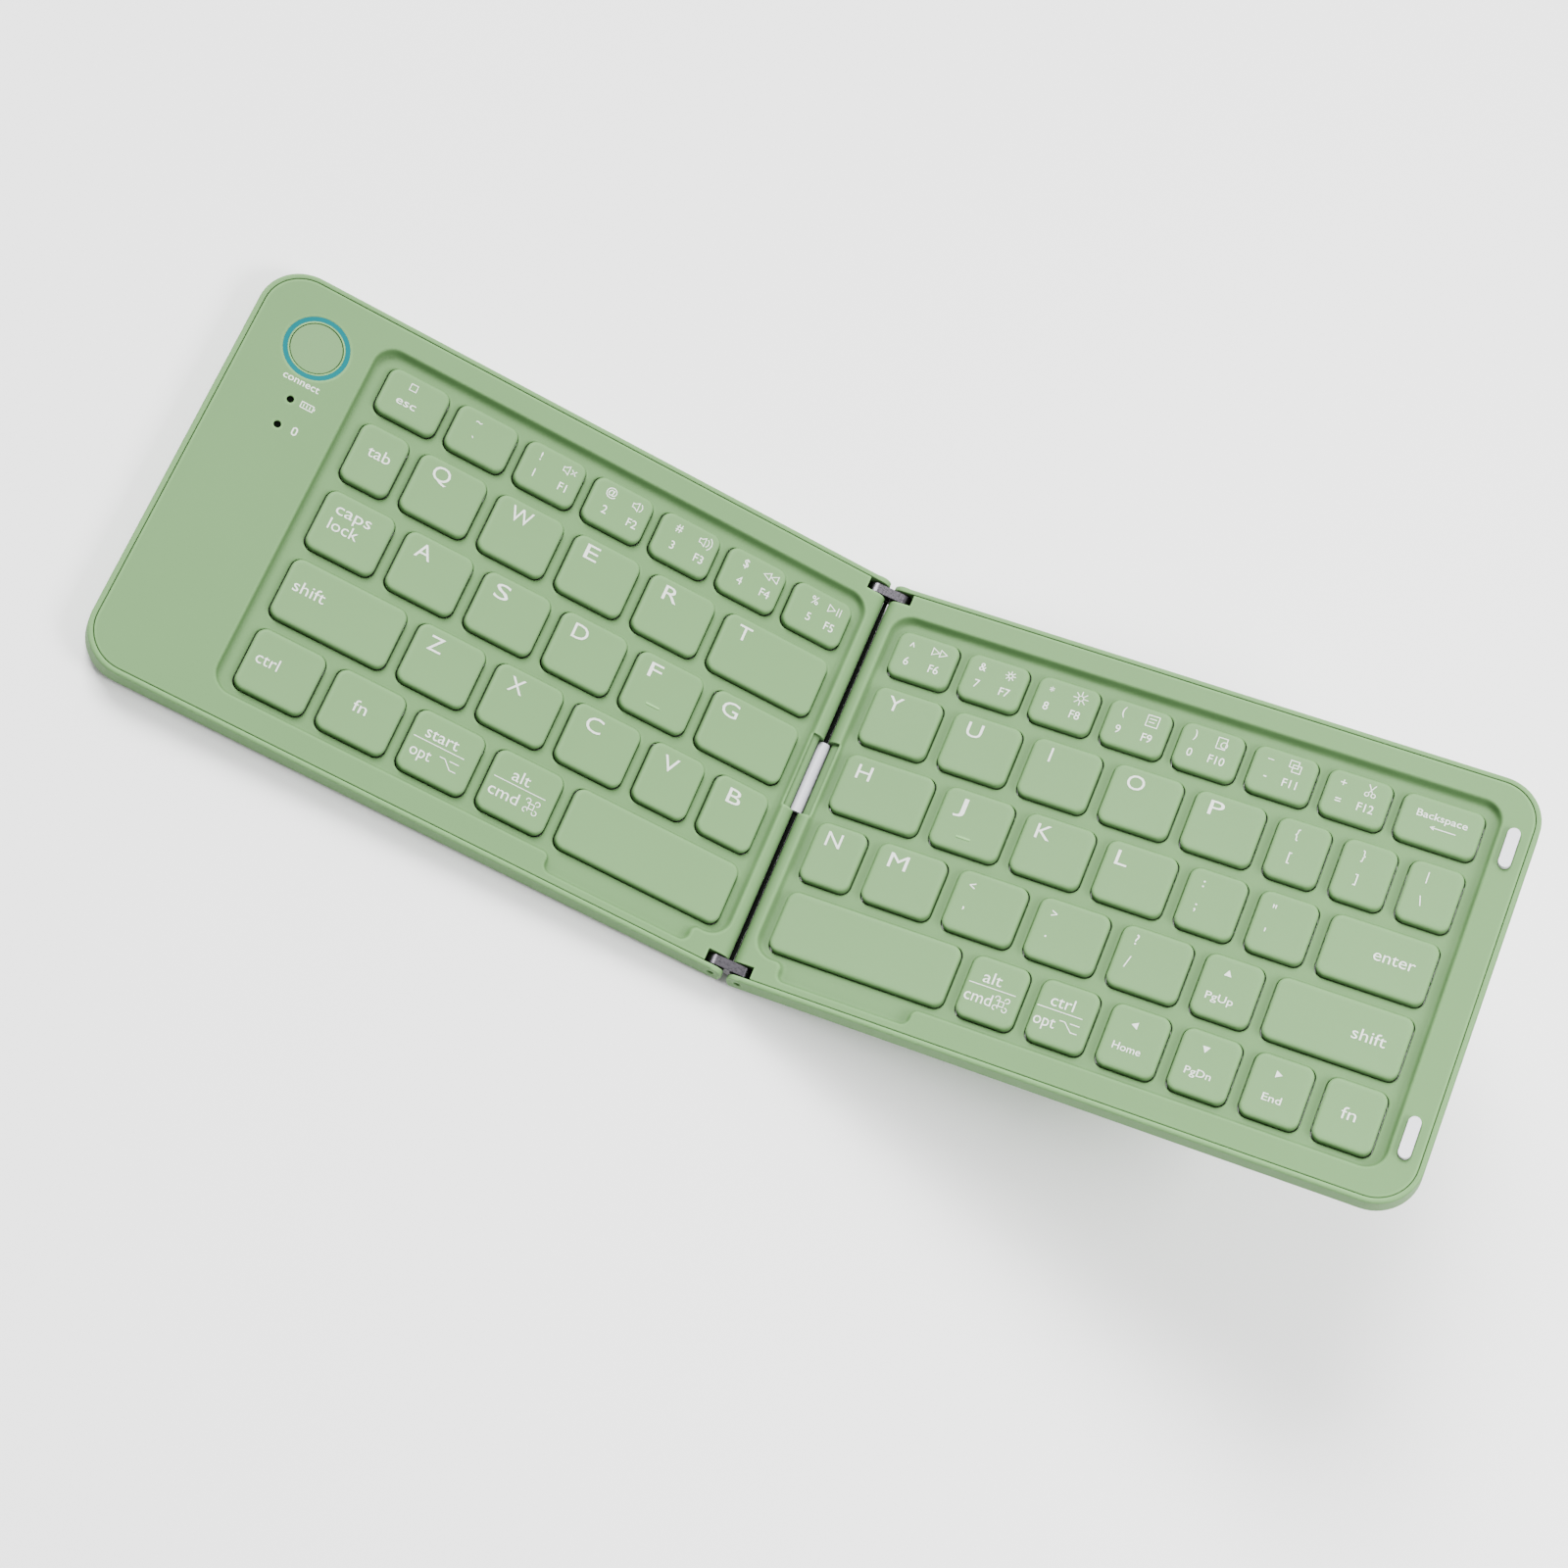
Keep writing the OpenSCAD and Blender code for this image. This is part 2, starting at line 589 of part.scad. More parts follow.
module main_board() {
    y1 = depth / 2 - wall_w - 0.3;
    color("darkgreen") mirrored() difference() {
        union() {
            slab(board_u, board_u1, board_y, y1, corner_r - wall_w - 0.3,
                 [[0, floor_z], [0, board_z]]);
            // Switch under the connect button, radio module and controller
            translate([half_w - control_in - switch_w / 2,
                       depth / 2 - button_back - switch_w / 2, board_z - eps])
                cube([switch_w, switch_w, switch_h]);
            translate([board_u + 4, board_y + 3, board_z - eps]) cube([radio_w, radio_d, radio_h]);
            translate([board_u + 2, y1 - chip_back, board_z - eps]) cube([chip_w, chip_w, chip_h]);
        }
        translate([half_w - control_in - socket_w / 2 - 0.2,
                   depth / 2 - 0.5 - socket_l, -half_t])
            cube([socket_w + 0.4, socket_l + 1, half_t]);
    }
}
module battery() {
    u0 = board_u + 0.9;
    u1 = board_u1 - 0.7;
    color("slategray") mirrored()
        translate([(u0 + u1) / 2, battery_y + battery_l / 2, floor_z])
            pad(u1 - u0, battery_l, 2, [[0.5, 0], [0, 0.5], [0, battery_t - 0.5],
                                        [0.5, battery_t]]);
}
module ribbon_cable() {
    color("orange") mirrored()
        translate([axle_off + 1.2, -cable_w / 2, floor_z - cable_t])
            cube([board_u + 0.6, cable_w, cable_t]);
}
module charge_socket() {
    color("silver") mirrored()
        translate([half_w - control_in, depth / 2 - 0.3, socket_z]) rotate([90, 0, 0]) {
            difference() {
                oblong(socket_w, socket_h - 0.05, 0, socket_l);
                oblong(socket_w - 0.6, socket_h - 0.65, -1, socket_l - 0.8);
            }
            translate([-3.3, -0.35, 1.2]) cube([6.6, 0.7, socket_l - 1.2]);
        }
}
module connect_button() {
    color(case_green) mirrored() control_column() {
        translate([0, 0, -deck_t - 0.1]) cylinder(r = button_r, h = deck_t);
        translate([0, 0, -deck_t - 0.5]) cylinder(r = button_r + 0.9, h = 0.4);
        translate([0, 0, board_z + switch_h + button_travel])
            cylinder(r = 1.4, h = -deck_t - board_z - switch_h - button_travel);
    }
}
module light_ring() {
    color([0.2, 0.6, 0.62]) mirrored() control_column() translate([0, 0, -0.9]) difference() {
        cylinder(r = ring_out - 0.02, h = 0.9);
        translate([0, 0, -1]) cylinder(r = ring_in + 0.02, h = 3);
    }
}
module status_lights() {
    color("black") mirrored() control_column() for (i = [0, 1])
        translate([0, -light_from - i * light_step, board_z])
            cylinder(r = light_r, h = -0.4 - board_z);
}

// ---- Hinge links ----
module end_links() {
    link_y = depth / 2 - link_inset;
    spine_l = link_y - link_w / 2 - cover_l / 2;
    color("dimgray") link_place() for (s = [-1, 1]) {
        translate([0, s * link_y, 0]) rotate([90, 0, 0]) difference() {
            translate([0, 0, -link_w / 2]) linear_extrude(link_w) {
                translate([0, -link_r]) square([link_run, 2 * link_r]);
                for (x = [0, link_run]) translate([x, 0]) circle(r = link_r);
            }
            for (x = [0, link_run]) translate([x, 0, 0])
                cylinder(r = axle_r + axle_clear, h = link_w + 2, center = true);
        }
        // Spine from the link to the cable cover
        translate([axle_off, s * (cover_l + spine_l + eps) / 2, -axle_drop / 2])
            cube([0.8, spine_l + eps, 2 * (link_r - axle_drop / 2)], center = true);
    }
}
module cable_cover() {
    r = cover_w / 2;
    color("lavender") link_place() translate([axle_off, 0, 0]) rotate([90, 0, 0]) {
        translate([0, cover_top - r, 0]) cylinder(r = r, h = cover_l, center = true);
        translate([-r, 0.2 - axle_drop, -cover_l / 2])
            cube([cover_w, cover_top - r + axle_drop - 0.2, cover_l]);
    }
}

// ---- Right half ----
module right_bottom_case() { color(case_green) right_place() bottom_case(); }
module right_top_case() {
    color(case_green) right_place() difference() {
        top_case(right_rows, right_well_u1, right_scoop, 1);
        for (s = [-1, 1]) translate([half_w - bumper_in, s * bumper_y, 0]) rotate([0, 0, 90])
            oblong(bumper_l + 0.2, bumper_w + 0.2, -pocket_d, 1);
    }
}
module right_key_plate() {
    color("lightgrey") right_place() layer(right_well_u1, floor_z, plate_t);
}
module right_membrane() { color("ivory") right_place() layer(right_well_u1, plate_z, film_t); }
module right_domes() { color("gainsboro") right_place() dome_sheet(right_rows, right_well_u1, 1); }
module right_scissors() { right_place() scissors(right_rows, 1); }
module right_feet() { right_place() feet(); }
module right_hinge_pins() { right_place() axles(); }
module right_bumpers() {
    gap = 2 * (axle_off - axle_drop);
    color(rubber_white) right_place() for (s = [-1, 1])
        translate([half_w - bumper_in, s * bumper_y, 0]) rotate([0, 0, 90])
            oblong(bumper_l, bumper_w, -pocket_d, gap - 0.2);
}

// ---- Keys ----
module keys_number_row_left() { left_keys(0, 0, 6); }
module keys_modifiers_left() {
    left_keys(1, 0, 0);
    left_keys(2, 0, 0);
    left_keys(3, 0, 0);
    left_keys(4, 0, 3);
}
module keys_number_row_right() { right_keys(0, 0, 7); }
module keys_punctuation() {
    right_keys(1, 5, 7);
    right_keys(2, 4, 5);
    right_keys(3, 2, 4);
}
module keys_modifiers_right() {
    right_keys(2, 6, 6);
    right_keys(3, 6, 6);
    right_keys(4, 1, 2);
    right_keys(4, 6, 6);
}
module keys_arrows() {
    right_keys(3, 5, 5);
    right_keys(4, 3, 5);
}
module key_space_left() { left_keys(4, 4, 4); }
module key_space_right() { right_keys(4, 0, 0); }
module letter_q() { left_keys(1, 1, 1); }
module letter_w() { left_keys(1, 2, 2); }
module letter_e() { left_keys(1, 3, 3); }
module letter_r() { left_keys(1, 4, 4); }
module letter_t() { left_keys(1, 5, 5); }
module letter_y() { right_keys(1, 0, 0); }
module letter_u() { right_keys(1, 1, 1); }
module letter_i() { right_keys(1, 2, 2); }
module letter_o() { right_keys(1, 3, 3); }
module letter_p() { right_keys(1, 4, 4); }
module letter_a() { left_keys(2, 1, 1); }
module letter_s() { left_keys(2, 2, 2); }
module letter_d() { left_keys(2, 3, 3); }
module letter_f() {
    left_keys(2, 4, 4);
    left_place() homing_bar(key_x(left_rows, 2, 4, -1));
}
module letter_g() { left_keys(2, 5, 5); }
module letter_h() { right_keys(2, 0, 0); }
module letter_j() {
    right_keys(2, 1, 1);
    right_place() homing_bar(key_x(right_rows, 2, 1, 1));
}
module letter_k() { right_keys(2, 2, 2); }
module letter_l() { right_keys(2, 3, 3); }
module letter_z() { left_keys(3, 1, 1); }
module letter_x() { left_keys(3, 2, 2); }
module letter_c() { left_keys(3, 3, 3); }
module letter_v() { left_keys(3, 4, 4); }
module letter_b() { left_keys(3, 5, 5); }
module letter_n() { right_keys(3, 0, 0); }
module letter_m() { right_keys(3, 1, 1); }

left_bottom_case();
left_top_case();
left_key_plate();
left_membrane();
left_domes();
left_scissors();
left_feet();
left_hinge_pins();
main_board();
battery();
ribbon_cable();
charge_socket();
connect_button();
light_ring();
status_lights();
end_links();
cable_cover();
right_bottom_case();
right_top_case();
right_key_plate();
right_membrane();
right_domes();
right_scissors();
right_feet();
right_bumpers();
right_hinge_pins();
keys_number_row_left();
keys_modifiers_left();
key_space_left();
letter_q();
letter_w();
letter_e();
letter_r();
letter_t();
letter_a();
letter_s();
letter_d();
letter_f();
letter_g();
letter_z();
letter_x();
letter_c();
letter_v();
letter_b();
keys_number_row_right();
keys_punctuation();
keys_modifiers_right();
keys_arrows();
key_space_right();
letter_y();
letter_u();
letter_i();
letter_o();
letter_p();
letter_h();
letter_j();
letter_k();
letter_l();
letter_n();
letter_m();
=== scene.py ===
import json
import math

import bmesh
import bpy
from mathutils import Matrix, Vector


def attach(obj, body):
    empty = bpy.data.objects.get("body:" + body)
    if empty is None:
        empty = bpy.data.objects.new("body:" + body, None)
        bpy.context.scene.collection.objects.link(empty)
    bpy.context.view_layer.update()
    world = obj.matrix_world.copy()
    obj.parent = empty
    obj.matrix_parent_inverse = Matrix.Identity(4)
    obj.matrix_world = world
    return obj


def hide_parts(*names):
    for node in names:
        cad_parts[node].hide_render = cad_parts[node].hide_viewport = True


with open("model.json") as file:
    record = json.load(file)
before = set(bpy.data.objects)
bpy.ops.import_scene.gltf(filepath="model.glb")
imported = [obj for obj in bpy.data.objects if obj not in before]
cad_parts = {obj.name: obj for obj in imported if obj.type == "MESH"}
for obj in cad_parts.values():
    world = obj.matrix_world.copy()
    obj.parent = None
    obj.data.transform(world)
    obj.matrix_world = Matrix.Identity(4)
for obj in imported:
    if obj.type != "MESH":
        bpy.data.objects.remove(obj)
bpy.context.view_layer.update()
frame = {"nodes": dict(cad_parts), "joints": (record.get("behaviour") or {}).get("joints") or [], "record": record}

# ---- Camera ----
# It stands in front of the left half and looks steeply down on it, where the photograph was
# taken from. Its place, turn and lens were fitted to the keys, for a picture of PICTURE pixels.
PICTURE = 1600
FOCAL = 3114.894
OPTIC_X, OPTIC_Y = 855.2, 820.7
SENSOR = 36.0
EYE = Vector((-0.114333, -0.219162, 0.617706))
EYE_RIGHT = Vector((0.872728, 0.372324, 0.315785))
EYE_UP = Vector((-0.447594, 0.868496, 0.213012))
scene = bpy.context.scene
lens = bpy.data.cameras.new("camera")
lens.sensor_width = SENSOR
lens.sensor_fit = "HORIZONTAL"
lens.lens = FOCAL * SENSOR / PICTURE
lens.shift_x = (PICTURE / 2 - OPTIC_X) / PICTURE
lens.shift_y = (OPTIC_Y - PICTURE / 2) / PICTURE
camera = bpy.data.objects.new("camera", lens)
scene.collection.objects.link(camera)
turn = Matrix((EYE_RIGHT, EYE_UP, EYE_RIGHT.cross(EYE_UP))).transposed().to_4x4()
camera.matrix_world = Matrix.Translation(EYE) @ turn
scene.camera = camera

# ---- Floor ----
# A wide sheet of pale matt paper under the keyboard. Its colour drifts very slightly and it
# has a fine tooth. The grain group made here is also used by every surface of the keyboard.
FLOOR_W = 6.0
PAPER_WHITE = (0.92, 0.92, 0.92)
PATCH_SCALE = 28.0
ROUGH_SPREAD = 0.06
SAMPLES = 6                                         # of the edge and corner shading
NOISE_LOW, NOISE_HIGH = 0.3, 0.7


def empty_group(name, inputs, outputs):
    """A shader node group with named sockets, and its input and output nodes."""
    group = bpy.data.node_groups.new(name, "ShaderNodeTree")
    for socket, kind in inputs:
        group.interface.new_socket(socket, in_out="INPUT", socket_type="NodeSocket" + kind)
    for socket, kind in outputs:
        group.interface.new_socket(socket, in_out="OUTPUT", socket_type="NodeSocket" + kind)
    return group, group.nodes.new("NodeGroupInput").outputs, group.nodes.new("NodeGroupOutput").inputs


def math_node(tree, operation, first, second):
    """A Math node of two values, each a number or another node's output."""
    node = tree.nodes.new("ShaderNodeMath")
    node.operation = operation
    for socket, value in zip(node.inputs, (first, second)):
        if isinstance(value, float):
            socket.default_value = value
        else:
            tree.links.new(value, socket)
    return node.outputs["Value"]


def scaled_colour(tree, colour, factor):
    """A colour made lighter or darker by a number or by another node's output."""
    node = tree.nodes.new("ShaderNodeVectorMath")
    node.operation = "SCALE"
    tree.links.new(colour, node.inputs[0])
    if isinstance(factor, float):
        node.inputs["Scale"].default_value = factor
    else:
        tree.links.new(factor, node.inputs["Scale"])
    return node.outputs["Vector"]


def spread(tree, source, low, high):
    """Carries a noise's useful range over to low and high."""
    node = tree.nodes.new("ShaderNodeMapRange")
    node.inputs["From Min"].default_value = NOISE_LOW
    node.inputs["From Max"].default_value = NOISE_HIGH
    tree.links.new(source, node.inputs["Value"])
    tree.links.new(low, node.inputs["To Min"])
    tree.links.new(high, node.inputs["To Max"])
    return node.outputs["Result"]


grain_group, given, made = empty_group(
    "moulded_grain",
    [("Colour", "Color"), ("Mottle", "Float"), ("Grain", "Float"), ("Roughness", "Float")],
    [("Colour", "Color"), ("Roughness", "Float"), ("Height", "Float")])
place = grain_group.nodes.new("ShaderNodeTexCoord")
patches = grain_group.nodes.new("ShaderNodeTexNoise")
patches.inputs["Scale"].default_value = PATCH_SCALE
patches.inputs["Detail"].default_value = 3.0
tooth = grain_group.nodes.new("ShaderNodeTexNoise")
tooth.inputs["Detail"].default_value = 4.0
grain_group.links.new(place.outputs["Object"], patches.inputs["Vector"])
grain_group.links.new(place.outputs["Object"], tooth.inputs["Vector"])
grain_group.links.new(given["Grain"], tooth.inputs["Scale"])
darker = math_node(grain_group, "SUBTRACT", 1.0, given["Mottle"])
lighter = math_node(grain_group, "ADD", 1.0, given["Mottle"])
drift = spread(grain_group, patches.outputs["Fac"], darker, lighter)
grain_group.links.new(scaled_colour(grain_group, given["Colour"], drift), made["Colour"])
smoother = math_node(grain_group, "SUBTRACT", given["Roughness"], ROUGH_SPREAD)
rougher = math_node(grain_group, "ADD", given["Roughness"], ROUGH_SPREAD)
grain_group.links.new(spread(grain_group, tooth.outputs["Fac"], smoother, rougher), made["Roughness"])
grain_group.links.new(tooth.outputs["Fac"], made["Height"])


def grained(name, colour, rough, mottle, grain, depth, metal=0.0, shine=0.5, edge=0.0):
    """A material with soft patches and a fine grain, whose relief is depth metres deep. Edges
    catch the light as if rounded by edge metres."""
    look = bpy.data.materials.new(name)
    look.use_nodes = True
    tree = look.node_tree
    shader = tree.nodes["Principled BSDF"]
    shader.inputs["Metallic"].default_value = metal
    shader.inputs["Specular IOR Level"].default_value = shine
    body = tree.nodes.new("ShaderNodeGroup")
    body.name = "grain"
    body.node_tree = grain_group
    body.inputs["Colour"].default_value = (*colour, 1)
    body.inputs["Mottle"].default_value = mottle
    body.inputs["Grain"].default_value = grain
    body.inputs["Roughness"].default_value = rough
    bump = tree.nodes.new("ShaderNodeBump")
    bump.inputs["Strength"].default_value = 0.5
    bump.inputs["Distance"].default_value = depth
    tree.links.new(body.outputs["Colour"], shader.inputs["Base Color"])
    tree.links.new(body.outputs["Roughness"], shader.inputs["Roughness"])
    tree.links.new(body.outputs["Height"], bump.inputs["Height"])
    tree.links.new(bump.outputs["Normal"], shader.inputs["Normal"])
    if edge:
        rounding = tree.nodes.new("ShaderNodeBevel")
        rounding.samples = SAMPLES
        rounding.inputs["Radius"].default_value = edge
        tree.links.new(rounding.outputs["Normal"], bump.inputs["Normal"])
    return look


bpy.ops.object.select_all(action="DESELECT")
bpy.ops.mesh.primitive_plane_add(size=FLOOR_W, location=(0, 0, 0))
floor = bpy.context.object
floor.name = "floor"
floor.data.materials.append(grained("floor_paper", PAPER_WHITE, 0.85, 0.004, 900.0, 0.00001))


# ---- Lights ----
# A large soft light behind and to the left, and a small weak one close by on the right, which
# opens the shadows. The white room is brighter behind the keyboard than in front of it.
def area_light(name, place, size, watts):
    """A square soft light at place, turned towards the middle of the keyboard."""
    lamp = bpy.data.lights.new(name, "AREA")
    lamp.size = size
    lamp.energy = watts
    holder = bpy.data.objects.new(name, lamp)
    scene.collection.objects.link(holder)
    holder.location = place
    holder.rotation_euler = (-Vector(place)).to_track_quat("-Z", "Y").to_euler()


area_light("key_light", (-1.88, 2.13, 3.0), 2.0, 440.0)
area_light("side_light", (0.42, -0.08, 0.6), 0.3, 7.5)
FRONT_Y, BACK_Y = -0.7, 0.8
FRONT_LEVEL, BACK_LEVEL = 0.3, 1.45
world = bpy.data.worlds.new("studio")
world.use_nodes = True
room = world.node_tree
background = room.nodes["Background"]
background.inputs["Color"].default_value = (1, 1, 1, 1)
towards = room.nodes.new("ShaderNodeTexCoord")
axes = room.nodes.new("ShaderNodeSeparateXYZ")
level = room.nodes.new("ShaderNodeMapRange")
level.inputs["From Min"].default_value = FRONT_Y
level.inputs["From Max"].default_value = BACK_Y
level.inputs["To Min"].default_value = FRONT_LEVEL
level.inputs["To Max"].default_value = BACK_LEVEL
room.links.new(towards.outputs["Generated"], axes.inputs["Vector"])
room.links.new(axes.outputs["Y"], level.inputs["Value"])
room.links.new(level.outputs["Result"], background.inputs["Strength"])
scene.world = world

# ---- Cases ----
# The top and bottom case of each half are injection moulded in one matt green plastic with a
# fine spark finish, and clip together. Their outer edges are made paler as a painted highlight,
# and the corners of the key well darker as painted shade.
CASE_GREEN = (0.105, 0.21, 0.08)
# How far the painted highlight on edges and the painted shade in corners reach, and how pale or dark they make the
# colour
PAINTED_LIGHT_REACH = 0.0007
HIGHLIGHT_TINT, HIGHLIGHT_LOW = 1.7, 0.3
SHADE_TINT, SHADE_REACH = 0.6, 5.0                       # dark corners reach further than pale edges

# Painted light: occlusion inside the solid finds outer edges, made paler as a painted highlight; occlusion outside
# finds corners and gaps, made darker as painted shade
painted_light_group, given, made = empty_group(
    "painted_edge_light_and_shade",
    [("Colour", "Color"), ("Plain", "Color"), ("Reach", "Float")],
    [("Colour", "Color")])
lit_and_shaded_colour = given["Colour"]
for inside, reach, tint, low in ((True, 1.0, HIGHLIGHT_TINT, HIGHLIGHT_LOW), (False, SHADE_REACH, SHADE_TINT, 0.0)):
    around = painted_light_group.nodes.new("ShaderNodeAmbientOcclusion")
    around.samples = SAMPLES
    around.inside = inside
    painted_light_group.links.new(math_node(painted_light_group, "MULTIPLY", given["Reach"], reach), around.inputs["Distance"])
    share = painted_light_group.nodes.new("ShaderNodeMapRange")
    share.inputs["From Min"].default_value = low
    painted_light_group.links.new(around.outputs["AO"], share.inputs["Value"])
    blend = painted_light_group.nodes.new("ShaderNodeMix")
    blend.data_type = "RGBA"
    painted_light_group.links.new(share.outputs["Result"], blend.inputs["Factor"])
    painted_light_group.links.new(scaled_colour(painted_light_group, given["Plain"], tint), blend.inputs["A"])
    painted_light_group.links.new(lit_and_shaded_colour, blend.inputs["B"])
    lit_and_shaded_colour = blend.outputs["Result"]
painted_light_group.links.new(lit_and_shaded_colour, made["Colour"])


def add_painted_light(look):
    """Adds a painted highlight to outer edges and painted shade to corners of a grained material."""
    tree = look.node_tree
    body = tree.nodes["grain"]
    edges = tree.nodes.new("ShaderNodeGroup")
    edges.node_tree = painted_light_group
    edges.inputs["Plain"].default_value = body.inputs["Colour"].default_value
    edges.inputs["Reach"].default_value = PAINTED_LIGHT_REACH
    tree.links.new(body.outputs["Colour"], edges.inputs["Colour"])
    tree.links.new(edges.outputs["Colour"], tree.nodes["Principled BSDF"].inputs["Base Color"])
    return look


def dress(slot, look):
    """Gives a look to every CAD piece whose material slot in the record is slot."""
    for piece in frame["record"]["subparts"]:
        if piece["material_slot"] == slot:
            for patch in frame["nodes"][piece["node"]].material_slots:
                patch.material = look


dress("case_plastic", add_painted_light(grained(
    "case_plastic_look", CASE_GREEN, 0.62, 0.02, 2600.0, 0.00002, shine=0.14, edge=0.0008)))

# ---- Key plates, membranes, domes and scissors ----
# Under the keys of each half lie a stamped steel plate, a printed contact film, a moulded
# sheet of rubber domes and white nylon scissor frames. Little of them shows.
PLATE_GREY = (0.5, 0.5, 0.52)
FILM_CREAM = (0.75, 0.75, 0.65)
DOME_GREY = (0.7, 0.72, 0.7)
NYLON_WHITE = (0.8, 0.8, 0.8)
dress("plate_steel", grained("plate_steel_look", PLATE_GREY, 0.4, 0.05, 1200.0, 0.00001, metal=1.0))
dress("membrane_film", grained("membrane_film_look", FILM_CREAM, 0.4, 0.03, 800.0, 0.00001))
dress("dome_rubber", grained("dome_rubber_look", DOME_GREY, 0.55, 0.03, 1500.0, 0.00001))
dress("scissor_plastic", grained("scissor_plastic_look", NYLON_WHITE, 0.45, 0.02, 1500.0, 0.00001))

# ---- Board, battery, cable and socket ----
# A lacquered green circuit board and a foil-wrapped flat battery lie in the control strip. An
# amber film cable leaves for the hinge, and a drawn steel socket sits in the back edge.
BOARD_GREEN = (0.02, 0.14, 0.05)
FOIL_GREY = (0.45, 0.46, 0.5)
FILM_AMBER = (0.5, 0.2, 0.03)
SOCKET_GREY = (0.6, 0.6, 0.62)
dress("circuit_board", grained("circuit_board_look", BOARD_GREEN, 0.4, 0.1, 900.0, 0.00003))
dress("battery_wrap", grained("battery_wrap_look", FOIL_GREY, 0.35, 0.04, 500.0, 0.00005, metal=1.0))
dress("cable_film", grained("cable_film_look", FILM_AMBER, 0.35, 0.05, 700.0, 0.00001))
dress("socket_metal", grained("socket_metal_look", SOCKET_GREY, 0.3, 0.04, 2000.0, 0.00001, metal=1.0))

# ---- Connect button, light ring and status lights ----
# The button is moulded like the case, but smoother. The ring round it is a blue-green light
# pipe that is off, and the two status lights are dark windows of clear plastic.
RING_BLUE = (0.0, 0.11, 0.125)
WINDOW_BLACK = (0.002, 0.003, 0.002)
dress("button_plastic", grained(
    "button_plastic_look", CASE_GREEN, 0.55, 0.015, 3000.0, 0.00001, shine=0.25, edge=0.0003))
dress("ring_light", grained("ring_light_look", RING_BLUE, 0.5, 0.12, 600.0, 0.00001, shine=0.05))
dress("light_window", grained("light_window_look", WINDOW_BLACK, 0.9, 0.1, 900.0, 0.00001, shine=0.0))

# ---- Feet and bumpers ----
# Pads of pale silicone rubber, glued into pockets of the bottom cases and of the right rim.
# A light sheen stands for the powdery skin that such rubber has.
PAD_GREY = (0.62, 0.61, 0.66)
pad_rubber = grained("foot_rubber_look", PAD_GREY, 0.6, 0.02, 1800.0, 0.00003, edge=0.0003)
pad_rubber.node_tree.nodes["Principled BSDF"].inputs["Sheen Weight"].default_value = 0.2
dress("foot_rubber", pad_rubber)

# ---- Hinge: links, axle pins and cable cover ----
# Two cast links with a satin finish turn on dark steel pins, made darker still as painted shade
# in their bores, and a grey rubber cover hides the cable between them. The thin spine that joins a
# link to the cover is coloured near-black as painted shade, which stands for the dark of the gap between the
# halves.
SPINE_END = 0.0452                                  # from the middle of the hinge, in metres
SPINE_SHADE_BLACK = (0.006, 0.007, 0.006)
LINK_GREY = (0.075, 0.07, 0.08)
PIN_STEEL_AND_SHADE = (0.03, 0.03, 0.032)
COVER_GREY = (0.46, 0.45, 0.50)
# The pins' very dark grey is partly their steel and partly painted shade for their recessed bores
dress("pin_steel", grained("pin_steel_look", PIN_STEEL_AND_SHADE, 0.4, 0.05, 2500.0, 0.00001, metal=1.0))
dress("cover_rubber", grained("cover_rubber_look", COVER_GREY, 0.42, 0.02, 1500.0, 0.00002))

link_metal = grained("link_metal_look", LINK_GREY, 0.3, 0.05, 2200.0, 0.00002, edge=0.0002)
tree = link_metal.node_tree
shader = tree.nodes["Principled BSDF"]
place = tree.nodes.new("ShaderNodeTexCoord")
axes = tree.nodes.new("ShaderNodeSeparateXYZ")
tree.links.new(place.outputs["Object"], axes.inputs["Vector"])
from_middle = tree.nodes.new("ShaderNodeMath")
from_middle.operation = "ABSOLUTE"
tree.links.new(axes.outputs["Y"], from_middle.inputs[0])
# Painted shade: the spine in the gap between the halves is made near-black, the rest of the link keeps its metal
unshaded_metal = math_node(tree, "GREATER_THAN", from_middle.outputs["Value"], SPINE_END)
gap_shade = tree.nodes.new("ShaderNodeMix")
gap_shade.data_type = "RGBA"
gap_shade.inputs["A"].default_value = (*SPINE_SHADE_BLACK, 1)
tree.links.new(unshaded_metal, gap_shade.inputs["Factor"])
tree.links.new(tree.nodes["grain"].outputs["Colour"], gap_shade.inputs["B"])
tree.links.new(gap_shade.outputs["Result"], shader.inputs["Base Color"])
tree.links.new(unshaded_metal, shader.inputs["Metallic"])
tree.links.new(unshaded_metal, shader.inputs["Specular IOR Level"])
dress("link_metal", link_metal)

# ---- Key caps ----
# Thin hollow caps moulded in the case's green, a shade lighter. Each has round corners, a
# fully rounded top edge and a shallow dish, and clips onto its scissor frame from above.
# Sizes are in mm of the key's half: X from the fold line, Y from its middle, Z from its rim.
KEY_GREEN = (0.115, 0.225, 0.088)
BLANK = 15.6                                        # a letter key, and the cap that is modelled
NARROW, TAB, WIDE_H, WIDE_N = 12.7, 11.0, 20.3, 11.4
KEY_D, NUMBER_D = 14.2, 11.1
GAP, NUMBER_GAP = 2.8, 2.35
KEY_TOP, KEY_FOOT = -0.3, -3.2
CORNER, WALL, EDGE, SKIRT = 2.3, 0.9, 0.8, 1.5
CORNER_STEPS = 6
ROUNDING = (18, 36, 54, 72, 90)                     # degrees round the top edge
DISH = ((0.6, -0.008), (0.8, -0.022))               # steps inwards, and down
DISH_MIDDLE = -0.03
FOLD = math.radians(26)
AXLE_OFF, AXLE_DROP = 3.1, 2.5
LEFT_START, LEFT_W = -118.8, 112.5
RIGHT_START, RIGHT_W = 6.3, 132.5
ROW_Y = (33.85, 18.2, 1.2, -15.8, -32.8)
ROW_D = (NUMBER_D, KEY_D, KEY_D, KEY_D, KEY_D)
